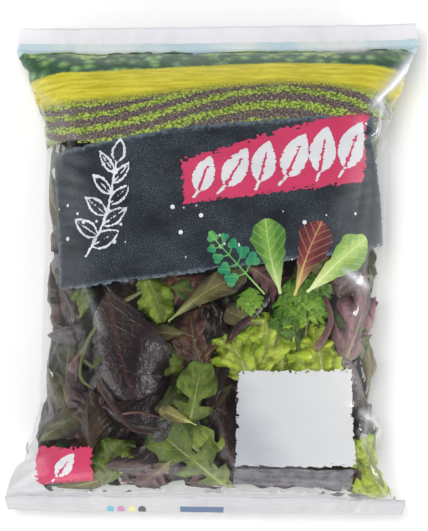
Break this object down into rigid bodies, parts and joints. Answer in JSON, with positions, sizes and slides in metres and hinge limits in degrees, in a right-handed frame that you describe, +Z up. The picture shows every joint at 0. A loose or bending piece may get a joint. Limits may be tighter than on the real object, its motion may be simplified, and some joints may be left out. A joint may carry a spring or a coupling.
{
  "type": "bag of salad leaves",
  "caption": "Sealed pillow bag of mixed salad leaves, lying on its back, with welded bands across its top and bottom.",
  "frame": {"origin": "on the resting face, under the middle of the bag's length and width", "axes": "+Y along the bag towards its top band, +X across it, +Z up out of its printed front"},
  "size_m": [0.2586, 0.311, 0.0704],
  "materials": {
    "film": "clear glossy film",
    "print": "ink printed on the film's inside, in fields of white, slate, pink, yellow and green",
    "green_leaves": "fresh leaf, a little waxy",
    "red_leaves": "fresh leaf, a little waxy"
  },
  "bodies": {
    "root": {"salad_bag": "film"}
  },
  "joints": []
}
